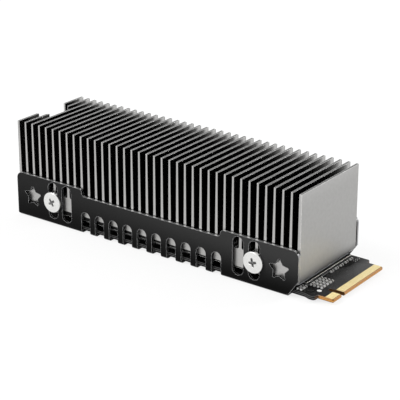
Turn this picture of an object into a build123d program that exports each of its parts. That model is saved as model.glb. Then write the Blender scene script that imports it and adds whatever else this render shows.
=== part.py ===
"""Finned aluminium heat sink clamped on a 22 by 80 mm solid-state drive by a folded sheet bracket.

The frame stands on the underside of the bracket, +Z up, with +X towards the edge connector.
Stations are distances from the rear end of the bracket.
"""

import os
from math import atan, cos, degrees, pi, sin

from build123d import *

# Solid-state drive board, a standard 22 by 80 card
BOARD_WIDTH = 22.0
BOARD_LENGTH = 80.0
BOARD_THICKNESS = 0.8
BOARD_SETBACK = 2.2
SHOULDER_DEPTH = 1.15
TONGUE_LENGTH = 3.7
TONGUE_CORNER = 0.4
TONGUE_BEVEL = 0.2
SHOULDER_RADIUS = 0.6
TONGUE_ROOT_RADIUS = 0.35
KEY_WIDTH = 1.2
KEY_DEPTH = 3.3
MOUNT_HOLE_RADIUS = 1.75
GROUND_PAD_RADIUS = 2.75
TOOLING_HOLE_RADIUS = 0.65
TOOLING_HOLE_FROM_SHOULDER = 1.95
TOOLING_HOLE_FROM_EDGE = 1.85
SIDE_RELIEF_DEPTH = 0.4
SIDE_RELIEF_LENGTH = 8.0
SIDE_RELIEF_RAMP = 1.1
SIDE_RELIEF_FROM_SHOULDER = 1.3

# Edge contacts, numbered from the far side, odd on top and even below
CONTACT_SIDE_MARGIN = 0.6
CONTACT_GAP = 0.15
CONTACT_LENGTH = 1.7
CONTACT_SETBACK = 0.3
CONTACT_THICKNESS = 0.04
CONTACT_COUNT = 75
CONTACTS_REMOVED = range(59, 67)

# Folded sheet bracket
SHEET = 0.5
INNER_BEND_RADIUS = 0.2
BOARD_SIDE_CLEARANCE = 0.05
BRACKET_FROM_SHOULDER = 3.5
WALL_HEIGHT = 10.3
WALL_DIP = 1.6
STEP_FROM_END = 19.0
STEP_RADIUS = 0.78
WALL_CORNER_RADIUS = 1.5
HEEL_RADIUS = 0.5
CHAMFER_RUN = 2.6
CHAMFER_RISE = 3.8
SCREW_SLOT_FROM_END = 10.6
SPARE_SLOT_FROM_END = 14.55
SLOT_WIDTH = 2.7
SLOT_BOTTOM = 1.4
SLOT_RIM = 0.4
STAR_FROM_END = 4.6
STAR_HEIGHT = 5.3
STAR_RADIUS = 2.6
STAR_WAIST = 0.53
STAR_ROUNDING = 0.22
ARCH_FROM_END = 19.95
ARCH_SPACING = 3.9
ARCH_WIDTH = 2.4
ARCH_TOP = 5.1
ARCH_REACH = 5.0
STANDOFF_RADIUS = 4.0

# Heat sink block
FIN_SPACING = 2.0
FIN_ROOT = 0.8
FIN_TIP = 0.55
FIN_HEIGHT = 15.2
FIN_ROOT_RADIUS = 0.25
BASE_THICKNESS = 4.2
BASE_CORNER = 1.0
BLOCK_SIDE_CLEARANCE = 0.25
BLOCK_END_CLEARANCE = 0.1
NOTCH_RADIUS = 4.6
NOTCH_REACH = 4.0

# Layers between the bracket and the block
FILM_THICKNESS = 0.1
FILM_SIDE_MARGIN = 1.0
CHIP_HEIGHT = 0.8
PAD_THICKNESS = 0.5
PAD_SIDE_MARGIN = 1.0
PAD_FRONT_SETBACK = 0.8
PAD_REAR_STATION = 7.0

# Screws
SCREW_RADIUS = 1.25
SCREW_LENGTH = 4.0
SCREW_HEAD_RADIUS = 2.35
SCREW_HEAD_HEIGHT = 0.6
SCREW_HEAD_ROUNDING = 0.2
SCREW_LIFT = 2.7
RECESS_LENGTH = 2.0
RECESS_WIDTH = 0.5
RECESS_DEPTH = 0.5
RECESS_TURNS = {"near_rear": 34, "near_front": 14, "far_rear": 62, "far_front": 48}
THREAD_CLEARANCE = 0.03
HEAD_CLEARANCE = 0.05
HOLE_EXTRA_DEPTH = 1.0

# Electronic packages: length along X, and side margins from the board's long edges
PACKAGE_GAP = 2.0
PACKAGE_EDGE = 0.1
CONTROLLER_LENGTH = 15.0
CONTROLLER_FRONT_SETBACK = 0.2
CONTROLLER_NEAR_MARGIN = 3.1
CONTROLLER_FAR_MARGIN = 1.4
DRAM_LENGTH = 7.5
DRAM_SIDE_MARGIN = 5.5
MEMORY_SIDE_MARGIN = 2.0
POWER_ROW_FROM_REAR = 18.3
POWER_CHIP_SIZE = (3.5, 3.5)
INDUCTOR_SIZE = (2.5, 2.0)
OSCILLATOR_SIZE = (2.0, 1.6)
OSCILLATOR_HEIGHT = 0.6
OSCILLATOR_MARGIN = 3.2

# Chip components: length along X and width along Y, then the spacing of each group
CAPACITOR_SIZE = (0.5, 1.0)
CAPACITOR_HEIGHT = 0.45
RESISTOR_SIZE = (0.6, 0.3)
RESISTOR_HEIGHT = 0.23
SMALL_PARTS_AHEAD = 0.25
FRONT_ROW_START = 1.1
FRONT_ROW_FAR_MARGIN = 2.3
FRONT_ROW_COUNT = 5
CLUSTER_NEAR_MARGIN = 4.4
CLUSTER_PITCH = (0.85, 1.15)
CLUSTER_COUNT = (4, 4)
CORNER_BEHIND = 0.9
CORNER_NEAR_MARGIN = 1.3
CORNER_PITCH = (0.8, 1.15)
CORNER_COUNT = (2, 2)
RESISTORS_AHEAD = 1.3
RESISTORS_FAR_MARGIN = 1.0
RESISTOR_PITCH = 0.8
RESISTOR_COUNT = 3
MEMORY_ROW_MARGIN = 5.0
MEMORY_ROW_COUNT = 6
TEST_PAD_SIZE = (1.0, 0.85)
TEST_PAD_FROM_SHOULDER = 0.7
TEST_PAD_NEAR_MARGIN = 3.0

# Sizes and places that follow from the driving dimensions
TOTAL_LENGTH = BOARD_SETBACK + BOARD_LENGTH
REAR_X = -TOTAL_LENGTH / 2

BRACKET_WIDTH = BOARD_WIDTH + 2 * (BOARD_SIDE_CLEARANCE + SHEET)
INNER_WIDTH = BRACKET_WIDTH - 2 * SHEET
OUTER_BEND_RADIUS = INNER_BEND_RADIUS + SHEET
BRACKET_LENGTH = TOTAL_LENGTH - TONGUE_LENGTH - BRACKET_FROM_SHOULDER
BLOCK_WIDTH = INNER_WIDTH - 2 * BLOCK_SIDE_CLEARANCE
BLOCK_LENGTH = BRACKET_LENGTH - 2 * BLOCK_END_CLEARANCE
fin_gaps = round((BLOCK_LENGTH - FIN_ROOT) / FIN_SPACING)
FIN_PITCH = (BLOCK_LENGTH - FIN_ROOT) / fin_gaps
arch_gaps = round((BRACKET_LENGTH - 2 * ARCH_FROM_END) / ARCH_SPACING)
ARCH_PITCH = (BRACKET_LENGTH - 2 * ARCH_FROM_END) / arch_gaps

BOARD_BOTTOM = SHEET + FILM_THICKNESS
BOARD_TOP = BOARD_BOTTOM + BOARD_THICKNESS
CHIP_TOP = BOARD_TOP + CHIP_HEIGHT
BASE_BOTTOM = CHIP_TOP + PAD_THICKNESS
BASE_TOP = BASE_BOTTOM + BASE_THICKNESS
FIN_TOP = BASE_TOP + FIN_HEIGHT
SCREW_Z = BASE_BOTTOM + SCREW_LIFT

BOARD_REAR_X = REAR_X + BOARD_SETBACK
BOARD_FRONT_X = BOARD_REAR_X + BOARD_LENGTH
SHOULDER_X = BOARD_FRONT_X - TONGUE_LENGTH
BRACKET_FRONT_X = REAR_X + BRACKET_LENGTH
BLOCK_REAR_X = REAR_X + BLOCK_END_CLEARANCE
BLOCK_FRONT_X = BLOCK_REAR_X + BLOCK_LENGTH
PLATE_FRONT_X = BRACKET_FRONT_X - CHAMFER_RUN
HALF_BOARD = BOARD_WIDTH / 2
TONGUE_WIDTH = BOARD_WIDTH - 2 * SHOULDER_DEPTH
CONTACT_PITCH = (TONGUE_WIDTH - 2 * CONTACT_SIDE_MARGIN) / (CONTACT_COUNT - 1)
CONTACT_WIDTH = 2 * CONTACT_PITCH - CONTACT_GAP


def mirrored(from_end):
    """Give the X of a feature at each end of the bracket, rear first."""
    return (REAR_X + from_end, BRACKET_FRONT_X - from_end)


def star_points(radius, waist):
    """Give the ten corners of an upright five-pointed star, waist corners between tips."""
    points = []
    for corner in range(10):
        reach = radius if corner % 2 == 0 else radius * waist
        turn = pi / 2 + corner * pi / 5
        points.append((reach * cos(turn), reach * sin(turn)))
    return points


def contact_y(number):
    """Give the Y of a numbered contact; number 1 lies at the far side."""
    return ((CONTACT_COUNT + 1) / 2 - number) * CONTACT_PITCH


def save(builder, label):
    """Label a finished piece and write it as one STEP file."""
    builder.part.label = label
    export_step(builder.part, f"parts/{label}.step")


os.makedirs("parts", exist_ok=True)

# Heat sink block: base and drafted fins in one extruded section
fin_xs = [BLOCK_REAR_X + FIN_ROOT / 2 + index * FIN_PITCH for index in range(fin_gaps + 1)]
fin_side_angle = degrees(atan(2 * FIN_HEIGHT / (FIN_ROOT - FIN_TIP)))

with BuildPart() as heatsink_body:
    with BuildSketch(Plane.XZ):
        with Locations((BLOCK_REAR_X, BASE_BOTTOM)):
            Rectangle(BLOCK_LENGTH, BASE_THICKNESS, align=(Align.MIN, Align.MIN))
        with Locations([(x, BASE_TOP) for x in fin_xs]):
            Trapezoid(FIN_ROOT, FIN_HEIGHT, fin_side_angle, align=(Align.CENTER, Align.MIN))
        fillet(vertices().group_by(Axis.Y)[0], BASE_CORNER)
        roots = vertices().filter_by_position(Axis.Y, BASE_TOP - 0.01, BASE_TOP + 0.01)
        fillet(roots.sort_by(Axis.X)[1:-1], FIN_ROOT_RADIUS)
    extrude(amount=BLOCK_WIDTH / 2, both=True)
    # Round notch that leaves the drive's fixing screw open from above
    with BuildSketch(Plane.XY.offset(BASE_BOTTOM)):
        with Locations((REAR_X + NOTCH_REACH - NOTCH_RADIUS, 0)):
            Circle(NOTCH_RADIUS)
    extrude(amount=FIN_TOP, mode=Mode.SUBTRACT)
    # Tapped holes in both long sides
    for side in (1, -1):
        with BuildSketch(Plane.XZ.offset(side * BLOCK_WIDTH / 2)):
            with Locations([(x, SCREW_Z) for x in mirrored(SCREW_SLOT_FROM_END)]):
                Circle(SCREW_RADIUS + THREAD_CLEARANCE)
        extrude(amount=-side * (SCREW_LENGTH + HOLE_EXTRA_DEPTH), mode=Mode.SUBTRACT)
save(heatsink_body, "heatsink_body")

# Bracket: one sheet folded to a channel, then its wall outline and openings
wall_low = WALL_HEIGHT - WALL_DIP
step_rear_x, step_front_x = mirrored(STEP_FROM_END)
wall_outline = [
    (REAR_X, 0),
    (PLATE_FRONT_X, 0),
    (BRACKET_FRONT_X, CHAMFER_RISE),
    (BRACKET_FRONT_X, WALL_HEIGHT),
    (step_front_x, WALL_HEIGHT),
    (step_front_x, wall_low),
    (step_rear_x, wall_low),
    (step_rear_x, WALL_HEIGHT),
    (REAR_X, WALL_HEIGHT),
]
arch_xs = [REAR_X + ARCH_FROM_END + index * ARCH_PITCH for index in range(arch_gaps + 1)]

with BuildPart() as bracket:
    with BuildSketch(Plane.YZ.offset(REAR_X)):
        Rectangle(BRACKET_WIDTH, WALL_HEIGHT, align=(Align.CENTER, Align.MIN))
        fillet(vertices().group_by(Axis.Y)[0], OUTER_BEND_RADIUS)
    extrude(amount=BRACKET_LENGTH)
    with BuildSketch(Plane.YZ.offset(REAR_X)):
        with Locations((0, SHEET)):
            Rectangle(INNER_WIDTH, WALL_HEIGHT, align=(Align.CENTER, Align.MIN))
        fillet(vertices().group_by(Axis.Y)[0], INNER_BEND_RADIUS)
    extrude(amount=BRACKET_LENGTH, mode=Mode.SUBTRACT)
    # Wall outline: raised ends, low middle, sloped lower front corner
    with BuildSketch(Plane.XZ):
        Polygon(*wall_outline, align=None)
        corners = vertices()
        upper = corners.filter_by_position(Axis.Y, WALL_HEIGHT - 0.01, WALL_HEIGHT + 0.01)
        middle = corners.filter_by_position(Axis.Y, wall_low - 0.01, wall_low + 0.01)
        fillet(upper.sort_by(Axis.X)[1:-1] + middle, STEP_RADIUS)
        ends = vertices().group_by(Axis.Y)[-1].sort_by(Axis.X)
        fillet([ends[0], ends[-1]], WALL_CORNER_RADIUS)
        heel = vertices().group_by(Axis.Y)[0].sort_by(Axis.X)[0]
        fillet(heel, HEEL_RADIUS)
    extrude(amount=BRACKET_WIDTH, both=True, mode=Mode.INTERSECT)
    # Square front end of the bottom plate
    with BuildSketch(Plane.XY):
        with Locations((PLATE_FRONT_X, 0)):
            Rectangle(CHAMFER_RUN, BRACKET_WIDTH, align=(Align.MIN, Align.CENTER))
    extrude(amount=SHEET, mode=Mode.SUBTRACT)
    # Height slots, two at each end of each wall
    slot_top = WALL_HEIGHT - SLOT_RIM
    slot_middle = (SLOT_BOTTOM + slot_top) / 2
    slot_xs = mirrored(SCREW_SLOT_FROM_END) + mirrored(SPARE_SLOT_FROM_END)
    with BuildSketch(Plane.XZ):
        with Locations([(x, slot_middle) for x in slot_xs]):
            SlotOverall(slot_top - SLOT_BOTTOM, SLOT_WIDTH, rotation=90)
    extrude(amount=BRACKET_WIDTH, both=True, mode=Mode.SUBTRACT)
    # Five-pointed star openings
    with BuildSketch(Plane.XZ):
        with Locations([(x, STAR_HEIGHT) for x in mirrored(STAR_FROM_END)]):
            Polygon(*star_points(STAR_RADIUS, STAR_WAIST), align=None)
        fillet(vertices(), STAR_ROUNDING)
    extrude(amount=BRACKET_WIDTH, both=True, mode=Mode.SUBTRACT)
    # Arched slots, up the walls and round the bends into the bottom plate
    for side in (1, -1):
        with BuildSketch(Plane.XZ.offset(side * BRACKET_WIDTH / 2)):
            with Locations([(x, ARCH_TOP - ARCH_WIDTH / 2) for x in arch_xs]):
                Circle(ARCH_WIDTH / 2)
                Rectangle(ARCH_WIDTH, ARCH_TOP - ARCH_WIDTH / 2, align=(Align.CENTER, Align.MAX))
        extrude(amount=-side * OUTER_BEND_RADIUS, mode=Mode.SUBTRACT)
        reach_middle = side * (BRACKET_WIDTH / 2 + ARCH_WIDTH / 2 - ARCH_REACH / 2)
        with BuildSketch(Plane.XY):
            with Locations([(x, reach_middle) for x in arch_xs]):
                SlotOverall(ARCH_REACH + ARCH_WIDTH, ARCH_WIDTH, rotation=90)
        extrude(amount=SHEET + INNER_BEND_RADIUS, mode=Mode.SUBTRACT)
    # Room for the standoff under the board's fixing notch
    with BuildSketch(Plane.XY):
        with Locations((BOARD_REAR_X, 0)):
            Circle(STANDOFF_RADIUS)
            Rectangle(BOARD_SETBACK, 2 * STANDOFF_RADIUS, align=(Align.MAX, Align.CENTER))
    extrude(amount=SHEET, mode=Mode.SUBTRACT)
save(bracket, "bracket")

# Screws: shank along Y, domed head with a cross recess, seated on the outer face of each wall
head_seat = BRACKET_WIDTH / 2 + HEAD_CLEARANCE
head_face = head_seat + SCREW_HEAD_HEIGHT

for side, side_name in ((1, "near"), (-1, "far")):
    for x, end_name in zip(mirrored(SCREW_SLOT_FROM_END), ("rear", "front")):
        recess_turn = RECESS_TURNS[f"{side_name}_{end_name}"]
        with BuildPart() as screw:
            with BuildSketch(Plane.XZ.offset(side * head_seat)):
                with Locations((x, SCREW_Z)):
                    Circle(SCREW_HEAD_RADIUS)
            extrude(amount=side * SCREW_HEAD_HEIGHT)
            outer_rim = edges().filter_by(GeomType.CIRCLE).sort_by(Axis.Y)
            fillet(outer_rim[0] if side == 1 else outer_rim[-1], SCREW_HEAD_ROUNDING)
            with BuildSketch(Plane.XZ.offset(side * head_seat)):
                with Locations((x, SCREW_Z)):
                    Circle(SCREW_RADIUS)
            extrude(amount=-side * SCREW_LENGTH)
            with BuildSketch(Plane.XZ.offset(side * head_face)):
                with Locations((x, SCREW_Z)):
                    Rectangle(RECESS_LENGTH, RECESS_WIDTH, rotation=recess_turn)
                    Rectangle(RECESS_WIDTH, RECESS_LENGTH, rotation=recess_turn)
            extrude(amount=-side * RECESS_DEPTH, mode=Mode.SUBTRACT)
        save(screw, f"screw_{side_name}_{end_name}")

# Drive board with edge tongue, key notch and half-round fixing notch
relief_front_x = SHOULDER_X - SIDE_RELIEF_FROM_SHOULDER
key_inner_x = BOARD_FRONT_X - KEY_DEPTH
key_y = contact_y((CONTACTS_REMOVED[0] + CONTACTS_REMOVED[-1]) / 2)

with BuildPart() as ssd_board:
    with BuildSketch(Plane.XY.offset(BOARD_BOTTOM)):
        with Locations((BOARD_REAR_X, 0)):
            Rectangle(BOARD_LENGTH - TONGUE_LENGTH, BOARD_WIDTH, align=(Align.MIN, Align.CENTER))
            Rectangle(BOARD_LENGTH, TONGUE_WIDTH, align=(Align.MIN, Align.CENTER))
        front = vertices().filter_by_position(Axis.X, SHOULDER_X - 0.01, SHOULDER_X + 0.01)
        steps = front.sort_by(Axis.Y)
        fillet([steps[0], steps[-1]], SHOULDER_RADIUS)
        fillet(steps[1:-1], TONGUE_ROOT_RADIUS)
        fillet(vertices().group_by(Axis.X)[-1], TONGUE_CORNER)
        with Locations((BOARD_REAR_X, 0)):
            Circle(MOUNT_HOLE_RADIUS, mode=Mode.SUBTRACT)
        # Shallow break-out relief in the near long edge, ramped at its front
        relief = [
            (relief_front_x, -HALF_BOARD),
            (relief_front_x - SIDE_RELIEF_RAMP, SIDE_RELIEF_DEPTH - HALF_BOARD),
            (relief_front_x - SIDE_RELIEF_LENGTH, SIDE_RELIEF_DEPTH - HALF_BOARD),
            (relief_front_x - SIDE_RELIEF_LENGTH, -HALF_BOARD),
        ]
        Polygon(*relief, align=None, mode=Mode.SUBTRACT)
        with Locations((key_inner_x + KEY_WIDTH / 2, key_y)):
            Circle(KEY_WIDTH / 2, mode=Mode.SUBTRACT)
            Rectangle(KEY_DEPTH, KEY_WIDTH, align=(Align.MIN, Align.CENTER), mode=Mode.SUBTRACT)
        hole_place = (SHOULDER_X - TOOLING_HOLE_FROM_SHOULDER, TOOLING_HOLE_FROM_EDGE - HALF_BOARD)
        with Locations(hole_place):
            Circle(TOOLING_HOLE_RADIUS, mode=Mode.SUBTRACT)
    extrude(amount=BOARD_THICKNESS)
    chamfer(faces().sort_by(Axis.X)[-2:].edges().filter_by(Axis.Y), TONGUE_BEVEL)
save(ssd_board, "ssd_board")

contact_front_x = BOARD_FRONT_X - CONTACT_SETBACK
numbers = [number for number in range(1, CONTACT_COUNT + 1) if number not in CONTACTS_REMOVED]

with BuildPart() as contacts_top:
    with BuildSketch(Plane.XY.offset(BOARD_TOP)):
        with Locations([(contact_front_x, contact_y(number)) for number in numbers if number % 2 == 1]):
            Rectangle(CONTACT_LENGTH, CONTACT_WIDTH, align=(Align.MAX, Align.CENTER))
    extrude(amount=CONTACT_THICKNESS)
save(contacts_top, "contacts_top")

with BuildPart() as contacts_bottom:
    with BuildSketch(Plane.XY.offset(BOARD_BOTTOM)):
        with Locations([(contact_front_x, contact_y(number)) for number in numbers if number % 2 == 0]):
            Rectangle(CONTACT_LENGTH, CONTACT_WIDTH, align=(Align.MAX, Align.CENTER))
    extrude(amount=-CONTACT_THICKNESS)
save(contacts_bottom, "contacts_bottom")

# Tinned half rings round the fixing notch, above and below
with BuildPart() as ground_pads:
    for level, growth in ((BOARD_TOP, CONTACT_THICKNESS), (BOARD_BOTTOM, -CONTACT_THICKNESS)):
        with BuildSketch(Plane.XY.offset(level)):
            with Locations((BOARD_REAR_X, 0)):
                Circle(GROUND_PAD_RADIUS)
                Circle(MOUNT_HOLE_RADIUS, mode=Mode.SUBTRACT)
                Rectangle(
                    GROUND_PAD_RADIUS,
                    2 * GROUND_PAD_RADIUS,
                    align=(Align.MAX, Align.CENTER),
                    mode=Mode.SUBTRACT,
                )
        extrude(amount=growth)
save(ground_pads, "ground_pads")

# Film under the board and soft pad over the chips
film_rear_x = BOARD_REAR_X + STANDOFF_RADIUS
film_front_x = PLATE_FRONT_X - INNER_BEND_RADIUS
film_width = BOARD_WIDTH - 2 * FILM_SIDE_MARGIN

with BuildPart() as insulating_film:
    with BuildSketch(Plane.XY.offset(SHEET)):
        with Locations((film_rear_x, 0)):
            Rectangle(film_front_x - film_rear_x, film_width, align=(Align.MIN, Align.CENTER))
    extrude(amount=FILM_THICKNESS)
save(insulating_film, "insulating_film")

pad_rear_x = REAR_X + PAD_REAR_STATION
pad_front_x = BLOCK_FRONT_X - PAD_FRONT_SETBACK
pad_width = BOARD_WIDTH - 2 * PAD_SIDE_MARGIN

with BuildPart() as thermal_pad:
    with BuildSketch(Plane.XY.offset(CHIP_TOP)):
        with Locations((pad_rear_x, 0)):
            Rectangle(pad_front_x - pad_rear_x, pad_width, align=(Align.MIN, Align.CENTER))
    extrude(amount=PAD_THICKNESS)
save(thermal_pad, "thermal_pad")


def package(label, front_x, middle_y, size, height, edge):
    """Build one moulded package on the board, its front face at front_x."""
    with BuildPart() as chip:
        with BuildSketch(Plane.XY.offset(BOARD_TOP)):
            with Locations((front_x, middle_y)):
                Rectangle(size[0], size[1], align=(Align.MAX, Align.CENTER))
        extrude(amount=height)
        if edge:
            chamfer(faces().sort_by(Axis.Z)[-1].edges(), edge)
    save(chip, label)


# Packages from the connector to the rear; the memory packages share the room that is left
controller_front_x = BLOCK_FRONT_X - CONTROLLER_FRONT_SETBACK
controller_size = (CONTROLLER_LENGTH, BOARD_WIDTH - CONTROLLER_NEAR_MARGIN - CONTROLLER_FAR_MARGIN)
controller_y = (CONTROLLER_NEAR_MARGIN - CONTROLLER_FAR_MARGIN) / 2
dram_front_x = controller_front_x - CONTROLLER_LENGTH - PACKAGE_GAP
dram_size = (DRAM_LENGTH, BOARD_WIDTH - 2 * DRAM_SIDE_MARGIN)
power_front_x = BOARD_REAR_X + POWER_ROW_FROM_REAR
power_row_y = HALF_BOARD / 2
memory_front_x = dram_front_x - DRAM_LENGTH - PACKAGE_GAP
memory_length = (memory_front_x - power_front_x) / 2 - PACKAGE_GAP
memory_rear_x = memory_front_x - memory_length - PACKAGE_GAP
memory_size = (memory_length, BOARD_WIDTH - 2 * MEMORY_SIDE_MARGIN)
oscillator_y = OSCILLATOR_MARGIN - HALF_BOARD

package("controller", controller_front_x, controller_y, controller_size, CHIP_HEIGHT, PACKAGE_EDGE)
package("dram", dram_front_x, 0, dram_size, CHIP_HEIGHT, PACKAGE_EDGE)
package("memory_front", memory_front_x, 0, memory_size, CHIP_HEIGHT, PACKAGE_EDGE)
package("memory_rear", memory_rear_x, 0, memory_size, CHIP_HEIGHT, PACKAGE_EDGE)
package("power_chip", power_front_x, power_row_y, POWER_CHIP_SIZE, CHIP_HEIGHT, PACKAGE_EDGE)
package("inductor_near", power_front_x, -power_row_y, INDUCTOR_SIZE, CHIP_HEIGHT, 0)
package("inductor_middle", power_front_x, 0, INDUCTOR_SIZE, CHIP_HEIGHT, 0)
package("oscillator", dram_front_x, oscillator_y, OSCILLATOR_SIZE, OSCILLATOR_HEIGHT, 0)


def small_parts(label, first, pitch, count, size, height):
    """Build a grid of like chip components, the rear near one centred on first."""
    with BuildPart() as group:
        with BuildSketch(Plane.XY.offset(BOARD_TOP)):
            with Locations(first):
                with GridLocations(*pitch, *count, align=(Align.MIN, Align.MIN)):
                    Rectangle(size[0], size[1])
        extrude(amount=height)
    save(group, label)


# Small components that show beside the connector, and their like beside the memory
capacitor = (CAPACITOR_SIZE, CAPACITOR_HEIGHT)
resistor = (RESISTOR_SIZE, RESISTOR_HEIGHT)
front_row_x = BLOCK_FRONT_X + SMALL_PARTS_AHEAD
front_row_pitch = (HALF_BOARD - FRONT_ROW_FAR_MARGIN - FRONT_ROW_START) / (FRONT_ROW_COUNT - 1)
front_row = (front_row_x, FRONT_ROW_START)
small_parts("capacitors_front", front_row, (0, front_row_pitch), (1, FRONT_ROW_COUNT), *capacitor)

cluster = (front_row_x, CLUSTER_NEAR_MARGIN - HALF_BOARD)
small_parts("capacitors_cluster", cluster, CLUSTER_PITCH, CLUSTER_COUNT, *capacitor)

corner = (BLOCK_FRONT_X - CORNER_BEHIND, CORNER_NEAR_MARGIN - HALF_BOARD)
small_parts("capacitors_corner", corner, CORNER_PITCH, CORNER_COUNT, *capacitor)

resistors_y = HALF_BOARD - RESISTORS_FAR_MARGIN - (RESISTOR_COUNT - 1) * RESISTOR_PITCH
far_resistors = (BLOCK_FRONT_X + RESISTORS_AHEAD, resistors_y)
small_parts("resistors_far", far_resistors, (0, RESISTOR_PITCH), (1, RESISTOR_COUNT), *resistor)

memory_row_pitch = (BOARD_WIDTH - 2 * MEMORY_ROW_MARGIN) / (MEMORY_ROW_COUNT - 1)
memory_row = (memory_rear_x + PACKAGE_GAP / 2, MEMORY_ROW_MARGIN - HALF_BOARD)
small_parts("capacitors_memory", memory_row, (0, memory_row_pitch), (1, MEMORY_ROW_COUNT), *capacitor)

# Tinned test pad near the tooling hole
with BuildPart() as test_pad:
    with BuildSketch(Plane.XY.offset(BOARD_TOP)):
        with Locations((SHOULDER_X - TEST_PAD_FROM_SHOULDER, TEST_PAD_NEAR_MARGIN - HALF_BOARD)):
            SlotOverall(TEST_PAD_SIZE[0], TEST_PAD_SIZE[1])
    extrude(amount=CONTACT_THICKNESS)
save(test_pad, "test_pad")
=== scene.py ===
"""Looks of the finned heat sink on its solid-state drive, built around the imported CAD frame.

The block, the folded bracket and the board are welded copies of their CAD shapes with small bevels.
Screws, chip components, packages, the soft pad and the board's relief are surfaces worked out here.
All lengths in the classes are in millimetres; MM turns them into Blender's metres.
"""

import logging
import math
from dataclasses import dataclass
from enum import Enum

import bmesh
import bpy
import numpy as np
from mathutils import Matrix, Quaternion, Vector


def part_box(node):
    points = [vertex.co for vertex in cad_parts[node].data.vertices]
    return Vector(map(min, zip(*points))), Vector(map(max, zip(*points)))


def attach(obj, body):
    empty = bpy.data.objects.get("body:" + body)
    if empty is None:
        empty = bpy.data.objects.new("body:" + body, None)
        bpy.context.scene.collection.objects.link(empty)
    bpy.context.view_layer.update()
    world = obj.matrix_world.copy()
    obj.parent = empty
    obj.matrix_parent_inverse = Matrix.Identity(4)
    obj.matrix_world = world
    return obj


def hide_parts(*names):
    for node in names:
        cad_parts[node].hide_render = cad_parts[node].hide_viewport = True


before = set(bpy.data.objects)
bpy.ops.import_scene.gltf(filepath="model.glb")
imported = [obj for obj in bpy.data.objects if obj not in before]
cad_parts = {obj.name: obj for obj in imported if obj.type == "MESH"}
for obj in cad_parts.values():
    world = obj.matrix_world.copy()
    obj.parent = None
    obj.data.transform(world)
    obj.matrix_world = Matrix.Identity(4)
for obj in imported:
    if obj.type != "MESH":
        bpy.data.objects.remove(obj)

MM = 0.001
DRIVE = "clamped_drive"
COOLER = "cooler"
LOG = logging.getLogger("heat_sink")

# How far a face leans along an axis, from 0 to 1, where a mask starts and where it is full
ALONG_AXIS = (0.6, 0.85)
OFF_AXIS = (0.75, 0.6)
CUT_ACROSS = (0.4, 0.6)
OFF_TOP = (0.95, 0.85)

Colour = tuple[float, float, float]
Socket = bpy.types.NodeSocket
Piece = bpy.types.Object


class Side(Enum):
    """The long side a piece belongs to, as the sign of its Y."""

    NEAR = -1
    FAR = 1


# --------------------------------------------------------------------------- meshes


def new_piece(name: str, points: np.ndarray, faces: np.ndarray, shaded: np.ndarray | None = None) -> Piece:
    """Make a mesh object at the origin from points in millimetres.

    Args:
        name: Name of the piece.
        points: Corner positions, one row each.
        faces: Corner numbers of each face, one row each.
        shaded: How much painted shade each point's plating gets, 0 to 1, kept as the attribute "recess".

    Returns:
        The linked object.
    """
    mesh = bpy.data.meshes.new(name)
    mesh.from_pydata((points * MM).tolist(), [], faces.tolist())
    if shaded is not None:
        recess = mesh.attributes.new("recess", "FLOAT", "POINT")
        recess.data.foreach_set("value", shaded.astype(np.float32).ravel())
    tidy = bmesh.new()
    tidy.from_mesh(mesh)
    bmesh.ops.remove_doubles(tidy, verts=tidy.verts, dist=1e-7)
    bmesh.ops.recalc_face_normals(tidy, faces=tidy.faces)
    tidy.to_mesh(mesh)
    tidy.free()
    mesh.polygons.foreach_set("use_smooth", np.full(len(mesh.polygons), True))
    mesh.set_sharp_from_angle(angle=math.radians(38))
    piece = bpy.data.objects.new(name, mesh)
    bpy.context.scene.collection.objects.link(piece)
    return piece


def grid_faces(rows: int, columns: int) -> np.ndarray:
    """Give the quads of a grid that closes on itself along its columns.

    Args:
        rows: Number of rings.
        columns: Number of points in each ring.

    Returns:
        Array of shape ((rows - 1) * columns, 4).
    """
    row, column = np.meshgrid(np.arange(rows - 1), np.arange(columns), indexing="ij")
    after = (column + 1) % columns
    ring, next_ring = row * columns, (row + 1) * columns
    corners = (ring + column, ring + after, next_ring + after, next_ring + column)
    return np.stack(corners, axis=-1).reshape(-1, 4)


def many(points: np.ndarray, faces: np.ndarray, places: np.ndarray) -> tuple[np.ndarray, np.ndarray]:
    """Repeat one shape at several places.

    Args:
        points: Points of the shape about its own middle.
        faces: Faces of the shape.
        places: Middle of each copy, one row each.

    Returns:
        Points and faces of all the copies together.
    """
    moved = (places[:, None, :] + points[None, :, :]).reshape(-1, 3)
    offsets = np.arange(len(places))[:, None, None] * len(points)
    return moved, (faces[None, :, :] + offsets).reshape(-1, faces.shape[1])


def rounded_outline(width: float, depth: float, radius: float, arc: int = 6) -> np.ndarray:
    """Give the outline of a rectangle with round corners, anticlockwise.

    Each corner is a quarter circle about a centre one radius inside both edges.

    Args:
        width: Size along X.
        depth: Size along Y.
        radius: Corner radius.
        arc: Points in each corner.

    Returns:
        Array of shape (4 * arc, 2).
    """
    turn = np.linspace(0, math.pi / 2, arc)
    angles = (np.arange(4)[:, None] * math.pi / 2 + turn[None, :]).ravel()
    signs = np.repeat(np.array([[1, 1], [-1, 1], [-1, -1], [1, -1]]), arc, axis=0)
    centres = signs * np.array([width / 2 - radius, depth / 2 - radius])
    return centres + radius * np.stack([np.cos(angles), np.sin(angles)], axis=1)


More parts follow.
